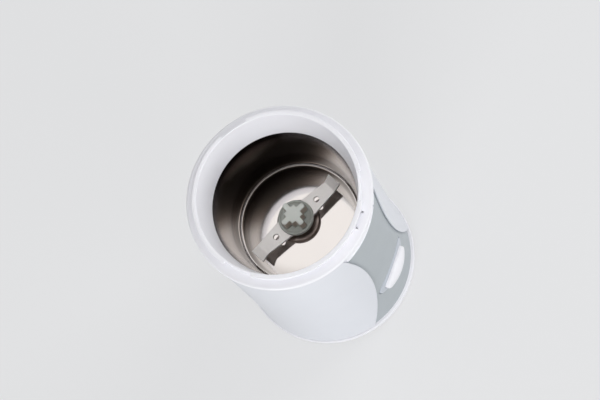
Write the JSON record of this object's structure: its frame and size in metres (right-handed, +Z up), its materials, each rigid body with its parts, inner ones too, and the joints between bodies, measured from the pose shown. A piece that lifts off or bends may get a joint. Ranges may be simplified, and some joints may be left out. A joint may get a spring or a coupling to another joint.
{
  "type": "electric spice grinder",
  "caption": "Upright round electric spice grinder base: open steel grinding bowl with a two-arm blade on a motor shaft, lid collar with lugs, flared body and an oval push button.",
  "frame": {"origin": "centre of the circle that the four feet stand on, on the motor axis", "axes": "+Z up along the motor shaft, -Y towards the front with the button"},
  "size_m": [0.0968, 0.0987, 0.14],
  "materials": {
    "white_plastic": "semi-gloss white",
    "grey_plastic": "satin grey",
    "bezel_plastic": "satin light grey",
    "cap_plastic": "matte grey-green",
    "polished_steel": "mirror polished",
    "blade_steel": "fine ground",
    "spring_steel": "drawn wire",
    "rubber": "matte",
    "zinc_steel": "zinc plated",
    "laminations": "laminated sheet",
    "copper": "enamelled copper",
    "brass": "turned",
    "black_plastic": "matte",
    "carbon": "pressed carbon",
    "board": "lacquered board",
    "capacitor": "cast resin"
  },
  "bodies": {
    "base": {"collar": "white_plastic", "left_side_shell": "white_plastic", "right_side_shell": "white_plastic", "base_cover": "white_plastic", "motor_housing": "grey_plastic", "button_bezel": "bezel_plastic", "grinding_bowl": "polished_steel", "seal_housing": "polished_steel", "button_spring": "spring_steel", "plunger_spring": "spring_steel", "rubber_feet": "rubber", "bowl_gasket": "rubber", "shaft_seal": "rubber", "motor_dampers": "rubber", "cord_grommet": "rubber", "base_screws": "zinc_steel", "collar_screws": "zinc_steel", "motor_screws": "zinc_steel", "carrier_screws": "zinc_steel", "motor_bolts": "zinc_steel", "upper_motor_bracket": "zinc_steel", "lower_motor_bracket": "zinc_steel", "motor_stator": "laminations", "field_coils": "copper", "seal_nut": "brass", "upper_bearing": "brass", "lower_bearing": "brass", "brush_holders": "brass", "switch_carrier": "black_plastic", "power_switch": "black_plastic", "safety_switch": "black_plastic", "carbon_brushes": "carbon", "circuit_board": "board", "suppressor_capacitor": "capacitor"},
    "rotor": {"motor_shaft": "blade_steel", "armature_core": "laminations", "armature_windings": "copper", "commutator": "copper", "cooling_fan": "black_plastic", "blade_spacer": "blade_steel", "grinding_blade": "blade_steel", "hub_cap": "cap_plastic"},
    "button": {"power_button": "white_plastic"},
    "plunger": {"safety_plunger": "white_plastic"}
  },
  "joints": [
    {"name": "blade_spin", "type": "hinge", "parent": "base", "child": "rotor", "pos_m": [0, 0, 0.0919], "axis": [0, 0, 1], "continuous": true},
    {"name": "button_press", "type": "slide", "parent": "base", "child": "button", "axis": [0, 1, 0], "range_m": [0, 0.002], "stiffness_N_per_m": 800, "springref_m": -0.0015, "deforming": ["button_spring"]},
    {"name": "plunger_push", "type": "slide", "parent": "base", "child": "plunger", "axis": [0, 0, -1], "range_m": [0, 0.003], "stiffness_N_per_m": 400, "springref_m": -0.0015, "deforming": ["plunger_spring"]}
  ]
}
